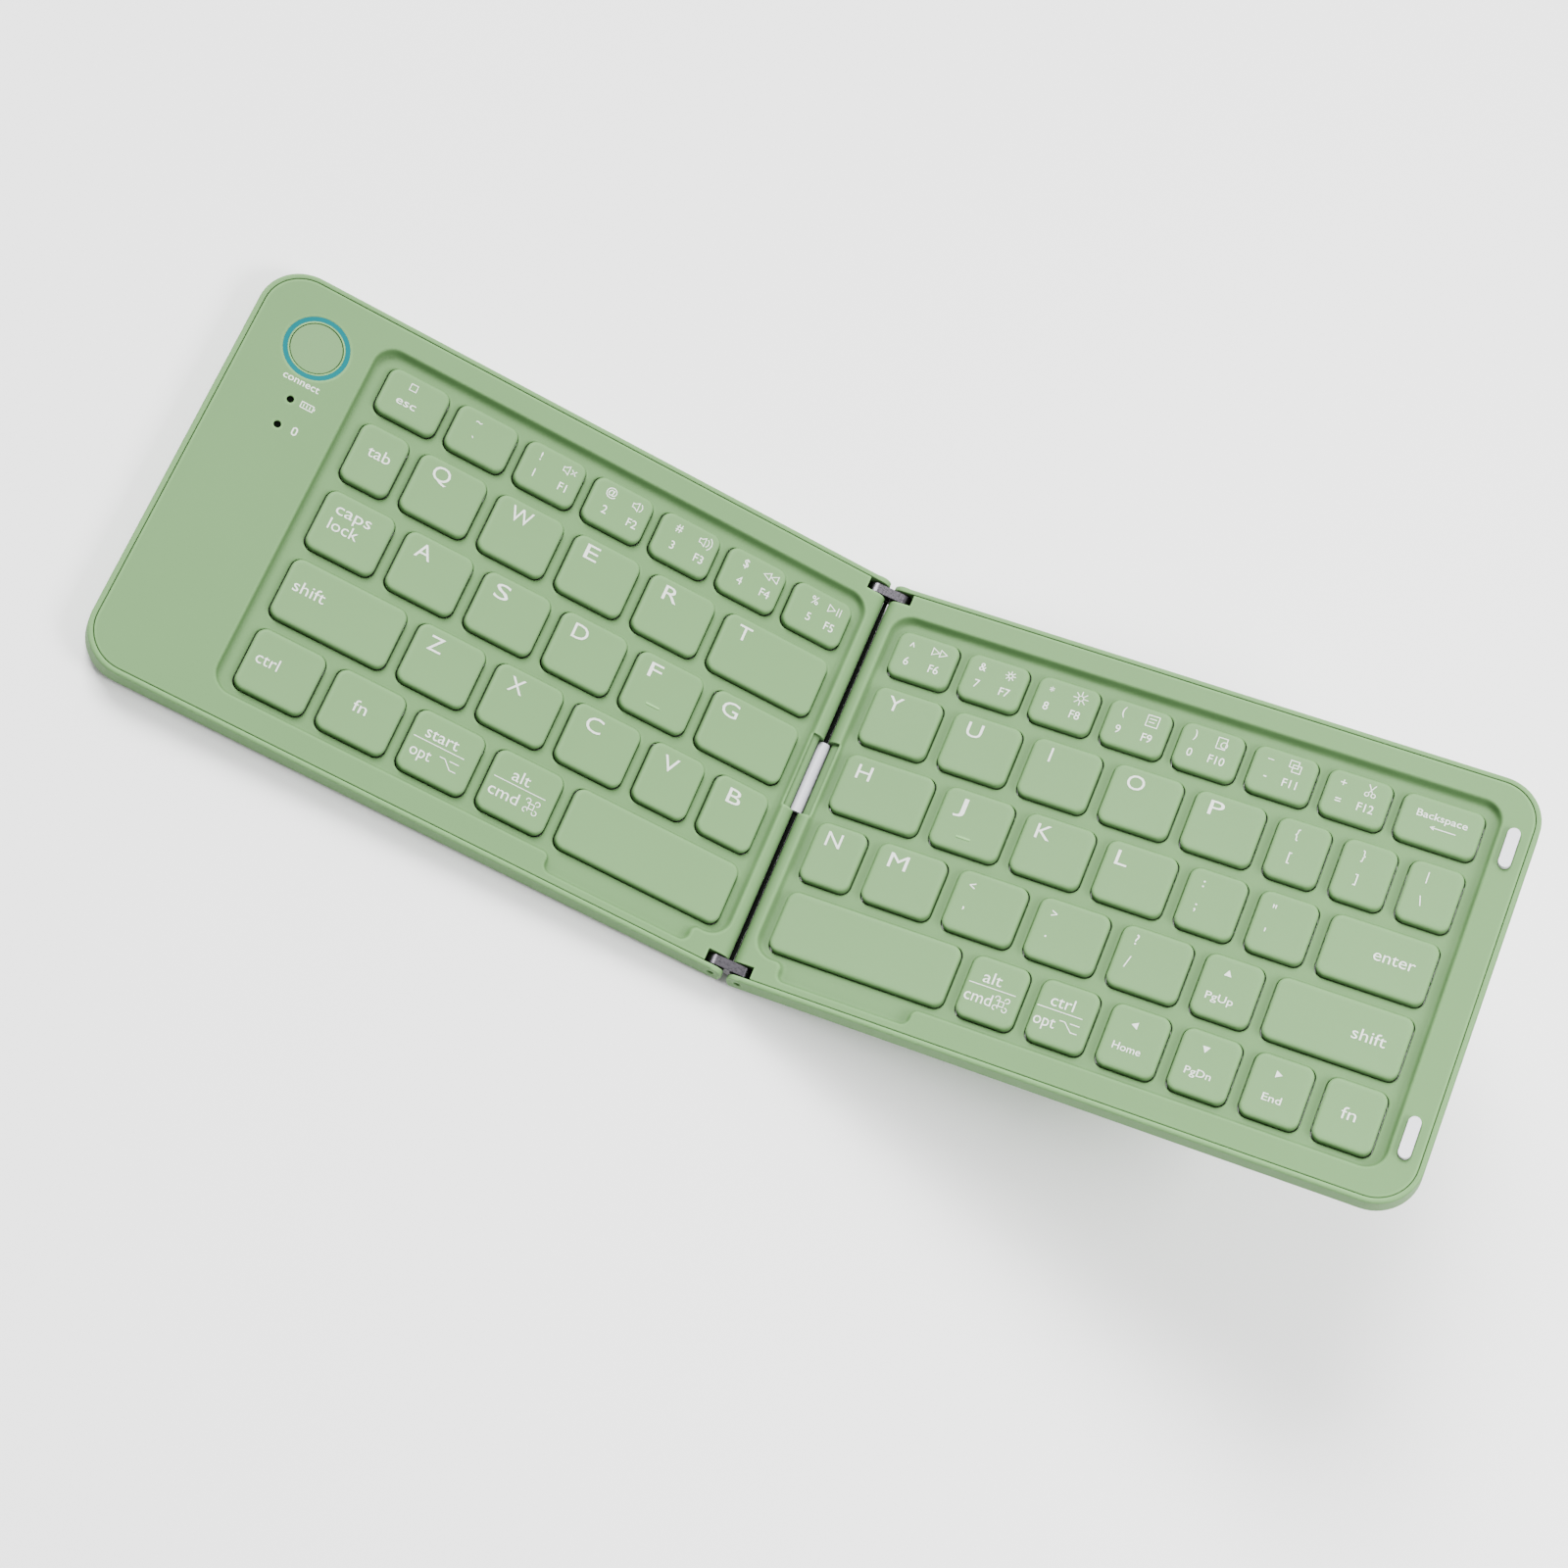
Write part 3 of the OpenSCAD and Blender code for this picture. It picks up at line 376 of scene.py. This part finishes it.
HOMING_LENGTH, HOMING_R, HOMING_RISE, HOMING_SINK = 2.8, 0.3, 0.22, 0.05
HOMING_BARS = {"letter_f": (-38.1, -2.6), "letter_j": (36.6, -2.6)}
NEAR = 0.01

# The keys get the same painted highlight on their edges and painted shade between them as the case
key_plastic = add_painted_light(grained("key_plastic_look", KEY_GREEN, 0.6, 0.015, 3200.0, 0.00001, shine=0.18))
dress("key_plastic", key_plastic)
joints = {joint["name"]: joint for joint in frame["joints"]}
mm = Matrix.Scale(0.001, 4)
left_axle = Matrix.Translation(joints["left_hinge"]["pos_m"])
left_half = left_axle @ mm @ Matrix.Translation((AXLE_OFF, 0, AXLE_DROP))
right_axle = Matrix.Translation(joints["right_hinge"]["pos_m"]) @ Matrix.Rotation(-FOLD, 4, "Y")
right_half = right_axle @ mm @ Matrix.Translation((-AXLE_OFF, 0, AXLE_DROP))

# One blank cap: a plate with round corners is drawn up, and its top is stepped in round a
# quarter circle and dished. The foot is then stepped in and pushed up to hollow it.
bpy.ops.object.select_all(action="DESELECT")
bpy.ops.mesh.primitive_plane_add(size=BLANK, location=(0, 0, 0))
blank = bpy.context.object
bpy.ops.object.mode_set(mode="EDIT")
bpy.ops.mesh.select_all(action="SELECT")
bpy.ops.transform.translate(value=(0, 0, KEY_FOOT))
bpy.ops.mesh.bevel(offset=CORNER, segments=CORNER_STEPS, affect="VERTICES")
bpy.ops.mesh.select_all(action="SELECT")
for rise in (KEY_TOP - SKIRT - KEY_FOOT, SKIRT - EDGE):
    bpy.ops.mesh.extrude_region_move(TRANSFORM_OT_translate={"value": (0, 0, rise)})
before = 0.0
for angle in (math.radians(a) for a in ROUNDING):
    step_in = EDGE * (math.cos(before) - math.cos(angle))
    bpy.ops.mesh.inset(thickness=step_in, depth=EDGE * (math.sin(angle) - math.sin(before)))
    before = angle
for step_in, step_down in DISH:
    bpy.ops.mesh.inset(thickness=step_in, depth=step_down)
bpy.ops.mesh.poke(offset=DISH_MIDDLE)
bpy.ops.mesh.select_all(action="DESELECT")
shape = bmesh.from_edit_mesh(blank.data)
for face in shape.faces:
    if all(abs(corner.co.z - KEY_FOOT) < NEAR for corner in face.verts):
        face.select_set(True)
bmesh.update_edit_mesh(blank.data)
bpy.ops.mesh.inset(thickness=WALL, depth=0)
bpy.ops.mesh.extrude_region_move(TRANSFORM_OT_translate={"value": (0, 0, KEY_TOP - WALL - KEY_FOOT)})
bpy.ops.mesh.select_all(action="SELECT")
bpy.ops.mesh.normals_make_consistent(inside=False)
bpy.ops.object.mode_set(mode="OBJECT")


def row(start, total, gap, widths):
    """(middle, width) of each key of a row. Widths of 0 share what the others leave."""
    spare = total - sum(widths) - gap * (len(widths) - 1)
    keys = []
    for width in (w or spare / widths.count(0) for w in widths):
        keys.append((start + width / 2, width))
        start += width + gap
    return keys


def left_row(*widths, gap=GAP):
    return row(LEFT_START, LEFT_W, gap, widths)


def right_row(*widths, gap=GAP):
    return row(RIGHT_START, RIGHT_W, gap, widths)


number_w = left_row(*[0] * 7, gap=NUMBER_GAP)[0][1]
left_rows = (left_row(*[0] * 7, gap=NUMBER_GAP),
             left_row(TAB, *[BLANK] * 4, 0),
             left_row(*[BLANK] * 5, 0),
             left_row(0, *[BLANK] * 3, NARROW, NARROW),
             left_row(*[BLANK] * 4, 0))
right_rows = (right_row(*[number_w] * 7, 0, gap=NUMBER_GAP),
              right_row(*[BLANK] * 5, 0, 0, 0),
              right_row(WIDE_H, *[BLANK] * 3, NARROW, NARROW, 0),
              right_row(WIDE_N, *[BLANK] * 4, NARROW, 0),
              right_row(0, *[NARROW] * 6))

# Which keys each piece holds: (row, place in the row), counted from the back left
left_keys = {"keys_number_row_left": [(0, i) for i in range(7)],
             "keys_modifiers_left": [(1, 0), (2, 0), (3, 0)] + [(4, i) for i in range(4)],
             "key_space_left": [(4, 4)]}
right_keys = {"keys_number_row_right": [(0, i) for i in range(8)],
              "keys_punctuation": [(1, 5), (1, 6), (1, 7), (2, 4), (2, 5), (3, 2), (3, 3), (3, 4)],
              "keys_modifiers_right": [(2, 6), (3, 6), (4, 1), (4, 2), (4, 6)],
              "keys_arrows": [(3, 5), (4, 3), (4, 4), (4, 5)],
              "key_space_right": [(4, 0)]}
for r, (left, right) in enumerate((("qwert", "yuiop"), ("asdfg", "hjkl"), ("zxcvb", "nm")), start=1):
    left_keys.update({"letter_" + c: [(r, i)] for i, c in enumerate(left, start=1)})
    right_keys.update({"letter_" + c: [(r, i)] for i, c in enumerate(right)})


def side_of(place):
    """1 or -1 on either side of the middle, and 0 on it."""
    return (place > NEAR) - (place < -NEAR)


def add_cap(bm, x, y, width, depth):
    """Copies the blank cap to a key's place, and stretches its middle to the key's size."""
    first = len(bm.verts)
    bm.from_mesh(blank.data)
    bm.verts.ensure_lookup_table()
    for v in bm.verts[first:]:
        for axis, middle, size in ((0, x, width), (1, y, depth)):
            v.co[axis] += middle + side_of(v.co[axis]) * (size - BLANK) / 2


def add_homing_bar(bm, x, y):
    """A low bar with round ends, on which a finger finds its key."""
    drop = bmesh.ops.create_uvsphere(bm, u_segments=16, v_segments=8, radius=1.0)
    for v in drop["verts"]:
        end = side_of(v.co.x) * HOMING_LENGTH / 2
        height = KEY_TOP - HOMING_SINK + HOMING_RISE * v.co.z
        v.co = Vector((x + HOMING_R * v.co.x + end, y + HOMING_R * v.co.y, height))


def finish_piece(bm, name, half, body, look, replaced=None):
    """Makes an object of a mesh drawn in the mm of a half. It rides on a body of the CAD."""
    mesh = bpy.data.meshes.new(name)
    bm.normal_update()
    bm.to_mesh(mesh)
    bm.free()
    mesh.transform(half)
    mesh.materials.append(look)
    piece = bpy.data.objects.new(name, mesh)
    scene.collection.objects.link(piece)
    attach(piece, body)
    if replaced:
        mesh.shade_smooth()
        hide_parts(replaced)


for half, rows, keys in ((left_half, left_rows, left_keys), (right_half, right_rows, right_keys)):
    for node, places in keys.items():
        bm = bmesh.new()
        for r, i in places:
            x, width = rows[r][i]
            add_cap(bm, x, ROW_Y[r], width, ROW_D[r])
        if node in HOMING_BARS:
            add_homing_bar(bm, *HOMING_BARS[node])
        finish_piece(bm, "cap_" + node, half, node, key_plastic, replaced=node)
bpy.data.meshes.remove(blank.data)

# ---- Legends ----
# Letters, words and signs in pale ink, pad printed on the caps and beside the lights, one
# thin piece for each key node. Places, heights and widths were read on the photograph after
# straightening it, in mm; STRETCH and SHIFT_Y carry them over to the finished keys.
INK = (0.62, 0.66, 0.60)
INK_T = 0.012
STRETCH_X, STRETCH_Y, SHIFT_Y = 0.99, 0.987, 0.65
CAPITAL = 0.73                                      # height of a capital for a font of size 1
LETTER_H, WORD_H, SIGN_H, SMALL_H = 3.6, 2.75, 2.0, 1.7
BOLDER = 0.015                                      # extra weight of text lower than FINE_BELOW
FINE_BELOW = 2.5
NARROWER = 0.95                                     # of signs whose width isn't given
LINE_W, BAR_W, BADGE_W = 0.2, 0.18, 0.3
SAME_PLACE = 1e-6
SHARPEST = 0.5                                      # mitres of sharper turns are cut short
PLAY_H = 0.85                                       # half the height of the play signs
RAY_START = 1.45                                    # of a sun's rays, in radii
ARROW_R = 0.95
ink = grained("legend_ink", INK, 0.6, 0.03, 2500.0, 0.000005)


def on_key(x, y):
    return STRETCH_X * x, STRETCH_Y * (y + SHIFT_Y)


def add_faces(bm, points, faces, x, y):
    """Flat faces of ink round a place, just above the key tops."""
    for face in faces:
        bm.faces.new([bm.verts.new((x + points[i][0], y + points[i][1], KEY_TOP + INK_T)) for i in face])


def add_text(bm, text, x, y, height, width=0.0, middle=False):
    """Text centred on x, with capitals of that height, and on base line y or centred on it."""
    curve = bpy.data.curves.new("text", "FONT")
    curve.body = text
    curve.size = height / CAPITAL
    curve.resolution_u = 3
    curve.offset = BOLDER if height < FINE_BELOW else 0.0
    holder = bpy.data.objects.new("text", curve)
    scene.collection.objects.link(holder)
    flat = holder.to_mesh()
    xs = [v.co.x for v in flat.vertices]
    ys = [v.co.y for v in flat.vertices]
    centre = (min(xs) + max(xs)) / 2
    stretch = width / (max(xs) - min(xs)) if width else NARROWER
    base = (min(ys) + max(ys)) / 2 if middle else 0.0
    points = [((v.co.x - centre) * stretch, v.co.y - base) for v in flat.vertices]
    add_faces(bm, points, [list(face.vertices) for face in flat.polygons], *on_key(x, y))
    holder.to_mesh_clear()
    bpy.data.objects.remove(holder)
    bpy.data.curves.remove(curve)


def across(way):
    """A vector turned left by a quarter."""
    return Vector((-way.y, way.x))


def add_lines(bm, x, y, lines, width=LINE_W):
    """Strokes round a place: each line is a list of (x, y) points, joined at mitres."""
    px, py = on_key(x, y)
    for line in lines:
        points = [Vector(p) for p in line]
        points = [p for i, p in enumerate(points) if i == 0 or (p - points[i - 1]).length > SAME_PLACE]
        closed = (points[0] - points[-1]).length < SAME_PLACE
        if closed:
            points.pop()
        count = len(points)
        pairs = []
        for i, p in enumerate(points):
            first, last = (i == 0 and not closed), (i == count - 1 and not closed)
            arrive = (points[1] - p if first else p - points[i - 1]).normalized()
            leave = arrive if last else (points[(i + 1) % count] - p).normalized()
            out = across(arrive + leave)
            if out.length < SAME_PLACE:
                out = across(arrive)
            out.normalize()
            out *= width / 2 / max(SHARPEST, out.dot(across(arrive)))
            tip = (leave if last else -leave) * width / 2 if first or last else Vector((0, 0))
            corners = (p + out + tip, p - out + tip)
            pairs.append([bm.verts.new((px + q.x, py + q.y, KEY_TOP + INK_T)) for q in corners])
        for i in range(count if closed else count - 1):
            (a, b), (c, d) = pairs[i], pairs[(i + 1) % count]
            bm.faces.new((a, b, d, c))


def arc(x, y, r, steps=16, start=0, turn=360):
    """Points on a circle or on a part of one, with angles in degrees."""
    angles = [math.radians(start + turn * i / steps) for i in range(steps + 1)]
    return [(x + r * math.cos(a), y + r * math.sin(a)) for a in angles]


def box(x0, y0, x1, y1):
    return [(x0, y0), (x1, y0), (x1, y1), (x0, y1), (x0, y0)]


def upright(x, half_height):
    return [(x, -half_height), (x, half_height)]


def arrowhead(x0, x1):
    """A triangle with its point at x0."""
    return [(x0, 0.0), (x1, PLAY_H), (x1, -PLAY_H), (x0, 0.0)]


def sun(r, reach):
    """A circle with eight rays, which start a little way off it."""
    starts = arc(0, 0, RAY_START * r, 8)
    ends = arc(0, 0, reach, 8)
    return [arc(0, 0, r)] + [[starts[i], ends[i]] for i in range(8)]


SPEAKER = [(-1.4, -0.45), (-0.9, -0.45), (-0.1, -1.0), (-0.1, 1.0), (-0.9, 0.45), (-1.4, 0.45), (-1.4, -0.45)]
NEAR_WAVE = arc(-0.3, 0, 1.1, 8, -50, 100)
FAR_WAVE = arc(-0.3, 0, 1.8, 8, -50, 100)
icons = {
    "square": [box(-0.75, -0.75, 0.75, 0.75)],
    "mute": [SPEAKER, [(0.5, -0.5), (1.5, 0.5)], [(0.5, 0.5), (1.5, -0.5)]],
    "quieter": [SPEAKER, NEAR_WAVE],
    "louder": [SPEAKER, NEAR_WAVE, FAR_WAVE],
    "back": [arrowhead(-1.8, -0.2), arrowhead(0.0, 1.6)],
    "play": [arrowhead(-0.1, -1.7), upright(0.5, PLAY_H), upright(1.2, PLAY_H)],
    "next": [arrowhead(-0.1, -1.7), arrowhead(1.7, 0.1)],
    "dim": sun(0.45, 1.1),
    "bright": sun(0.6, 1.6),
    "page": [box(-1.3, -1.3, 1.3, 1.3), [(-0.7, 0.5), (0.7, 0.5)], [(-0.7, -0.3), (0.4, -0.3)]],
    "search": [box(-1.1, -1.3, 0.9, 1.3), arc(0.5, -0.3, 0.7)],
    "copy": [box(-1.3, -0.3, 0.6, 1.3), box(-0.5, -1.3, 1.3, 0.4)],
    "cut": [arc(-0.7, -0.9, 0.45), arc(0.7, -0.9, 0.45),
            [(-0.45, -0.5), (0.7, 1.4)], [(0.45, -0.5), (-0.7, 1.4)]],
    "erase": [[(-2.4, 0.0), (3.0, 0.0)], [(-2.4, 0.0), (-1.6, 0.35)], [(-2.4, 0.0), (-1.6, -0.35)]],
    "option": [[(-2.0, 0.9), (-0.9, 0.9), (0.9, -0.9), (2.2, -0.9)], [(0.3, 0.9), (2.2, 0.9)]],
    "looped": [box(-0.55, -0.55, 0.55, 0.55),
               arc(-1.05, 1.05, 0.5, 14, -90, 270), arc(1.05, 1.05, 0.5, 14, 180, -270),
               arc(1.05, -1.05, 0.5, 14, 90, -270), arc(-1.05, -1.05, 0.5, 14, 0, 270)],
    "oval": [arc(0, 0.38, 0.45, 8, 0, 180) + arc(0, -0.38, 0.45, 8, 180, 180) + [(0.45, 0.38)]],
    "battery": [box(-1.4, -0.65, 1.3, 0.65), upright(-0.8, 0.3), upright(-0.1, 0.3), upright(0.6, 0.3),
                upright(1.6, 0.2)],
}

# Letters: x of the middle, base line and width
letters = {
    "q": (-100.5, 20.0, 4.0), "w": (-81.4, 20.0, 4.9), "e": (-64.3, 20.0, 3.1), "r": (-44.9, 19.9, 3.5),
    "t": (-26.7, 19.8, 3.1), "a": (-96.6, 2.5, 3.6), "s": (-78.0, 2.5, 3.3), "d": (-59.2, 2.5, 3.5),
    "f": (-41.0, 2.5, 2.9), "g": (-22.6, 2.5, 3.8), "z": (-85.8, -14.9, 3.2), "x": (-66.7, -14.9, 3.4),
    "c": (-48.1, -14.9, 3.7), "v": (-29.7, -15.0, 3.5), "b": (-14.0, -15.0, 3.2),
    "y": (11.5, 19.8, 3.3), "u": (30.3, 19.7, 3.5), "i": (48.0, 19.8, 0.45), "o": (67.6, 19.7, 3.9),
    "p": (85.8, 19.8, 3.2), "h": (11.2, 2.2, 3.3), "j": (34.0, 2.2, 2.4), "k": (52.9, 2.2, 3.4),
    "l": (70.8, 2.2, 2.7), "n": (10.9, -14.8, 3.4), "m": (25.9, -14.8, 4.2),
}
# Words: word, x of the middle, base line, height and width
words = {
    "keys_number_row_left": [("esc", -114.0, 31.7, 1.9, 4.5)],
    "keys_number_row_right": [("Backspace", 131.5, 34.4, SMALL_H, 11.0)],
    "keys_modifiers_left": [
        ("tab", -114.1, 17.8, WORD_H, 5.1), ("caps", -113.0, 2.8, WORD_H, 8.0),
        ("lock", -113.8, -1.0, WORD_H, 6.7), ("shift", -114.2, -16.8, WORD_H, 7.1),
        ("ctrl", -115.4, -34.5, WORD_H, 5.0), ("fn", -94.2, -34.5, WORD_H, 3.1),
        ("start", -75.9, -32.4, WORD_H, 7.4), ("opt", -78.9, -37.2, WORD_H, 4.7),
        ("alt", -57.3, -32.4, WORD_H, 4.1), ("cmd", -59.5, -37.2, WORD_H, 6.8)],
    "keys_modifiers_right": [
        ("enter", 131.9, 0.1, WORD_H, 8.9), ("shift", 132.2, -17.8, WORD_H, 7.2),
        ("fn", 133.5, -35.0, WORD_H, 3.2), ("alt", 54.6, -32.4, WORD_H, 4.1),
        ("cmd", 53.0, -37.2, WORD_H, 6.0), ("ctrl", 70.3, -32.4, WORD_H, 5.1),
        ("opt", 67.9, -37.2, WORD_H, 4.7)],
    "keys_arrows": [
        ("PgUp", 100.5, -19.8, SMALL_H, 6.0), ("Home", 86.1, -36.8, SMALL_H, 6.1),
        ("PgDn", 101.7, -36.8, SMALL_H, 5.7), ("End", 117.7, -36.8, SMALL_H, 4.1)],
}
# Signs: sign, x and y of the middle, height
signs = {
    "keys_number_row_left": [("~", -98.3, 36.5, SIGN_H), ("`", -98.3, 32.8, SIGN_H)],
    "keys_number_row_right": [],
    "keys_punctuation": [
        ("{", 103.9, 21.5, 2.1), ("[", 103.9, 15.9, 2.1), ("}", 118.6, 21.5, 2.1), ("]", 118.6, 15.9, 2.1),
        ("|", 132.6, 21.4, 2.1), ("\\", 132.7, 15.9, 2.3), (":", 89.0, 4.2, 2.4), (";", 89.0, -1.5, 2.4),
        ("\"", 104.7, 4.4, 2.4), ("'", 104.4, -1.2, 2.4), ("<", 42.9, -12.8, 2.0), (",", 42.8, -18.3, 2.4),
        (">", 61.6, -12.9, 2.0), (".", 61.5, -18.3, 2.4), ("?", 80.0, -12.5, 2.4), ("/", 79.7, -17.8, 2.8)],
}
# Icons: icon, x and y of the middle
drawn = {
    "keys_number_row_left": [("square", -114.0, 36.5)],
    "keys_number_row_right": [("erase", 132.0, 32.6)],
    "keys_modifiers_left": [("option", -72.8, -35.9), ("looped", -53.0, -35.9)],
    "keys_modifiers_right": [("looped", 58.1, -35.9), ("option", 73.0, -35.9)],
}
# Bars between two words of a key: x and y of the middle, length
bars = {
    "keys_modifiers_left": [(-75.9, -33.2, 11.4), (-56.9, -33.2, 11.8)],
    "keys_modifiers_right": [(55.2, -33.2, 10.2), (70.3, -33.2, 9.8)],
}
# Filled arrows: x and y of the middle, and the way they point in degrees
arrows = {"keys_arrows": [(100.5, -13.3, 90), (86.2, -30.6, 180), (101.6, -30.4, 270), (117.3, -30.6, 0)]}

# The number row: x of the left and of the right column, and what is printed in them
UPPER_Y, ICON_Y, LOWER_Y, F_LINE = 36.4, 36.3, 32.2, 31.2
number_row = [
    (-83.2, -76.3, "!", "1", "F1", "mute"), (-66.0, -59.3, "@", "2", "F2", "quieter"),
    (-49.3, -42.8, "#", "3", "F3", "louder"), (-32.6, -26.3, "$", "4", "F4", "back"),
    (-15.3, -10.1, "%", "5", "F5", "play"), (9.9, 16.4, "^", "6", "F6", "next"),
    (26.6, 33.1, "&", "7", "F7", "dim"), (42.8, 49.5, "*", "8", "F8", "bright"),
    (59.5, 66.1, "(", "9", "F9", "page"), (75.9, 82.0, ")", "0", "F10", "search"),
    (93.0, 98.5, "_", "-", "F11", "copy"), (109.3, 115.4, "+", "=", "F12", "cut"),
]
for x, right_x, upper, lower, label, icon in number_row:
    node = "keys_number_row_left" if x < 0 else "keys_number_row_right"
    signs[node] += [(upper, x, UPPER_Y, SIGN_H), (lower, x, LOWER_Y, SIGN_H)]
    words[node].append((label, right_x, F_LINE, SIGN_H, 0.0))
    drawn[node].append((icon, right_x, ICON_Y))
for c, (x, y, width) in letters.items():
    words["letter_" + c] = [(c.upper(), x, y, LETTER_H, width)]

for half, keys in ((left_half, left_keys), (right_half, right_keys)):
    for node in keys:
        bm = bmesh.new()
        for word, x, y, height, width in words.get(node, ()):
            add_text(bm, word, x, y, height, width)
        for sign, x, y, height in signs.get(node, ()):
            add_text(bm, sign, x, y, height, middle=True)
        for icon, x, y in drawn.get(node, ()):
            add_lines(bm, x, y, icons[icon])
        for x, y, length in bars.get(node, ()):
            add_lines(bm, x, y, [[(-length / 2, 0), (length / 2, 0)]], BAR_W)
        for x, y, way in arrows.get(node, ()):
            add_faces(bm, arc(0, 0, ARROW_R, 3, way), [(0, 1, 2)], *on_key(x, y))
        if not bm.faces:
            bm.free()
            continue
        finish_piece(bm, "legend_" + node, half, node, ink)

# The word and the two signs beside the lights lie on the case, at the level of the rim.
bm = bmesh.new()
add_text(bm, "connect", -135.5, 24.8, SMALL_H, 8.2)
add_lines(bm, -132.1, 21.1, icons["battery"])
add_lines(bm, -132.1, 14.8, icons["oval"], BADGE_W)
for v in bm.verts:
    v.co.z -= KEY_TOP
finish_piece(bm, "legend_controls", left_half, "left_half", ink)
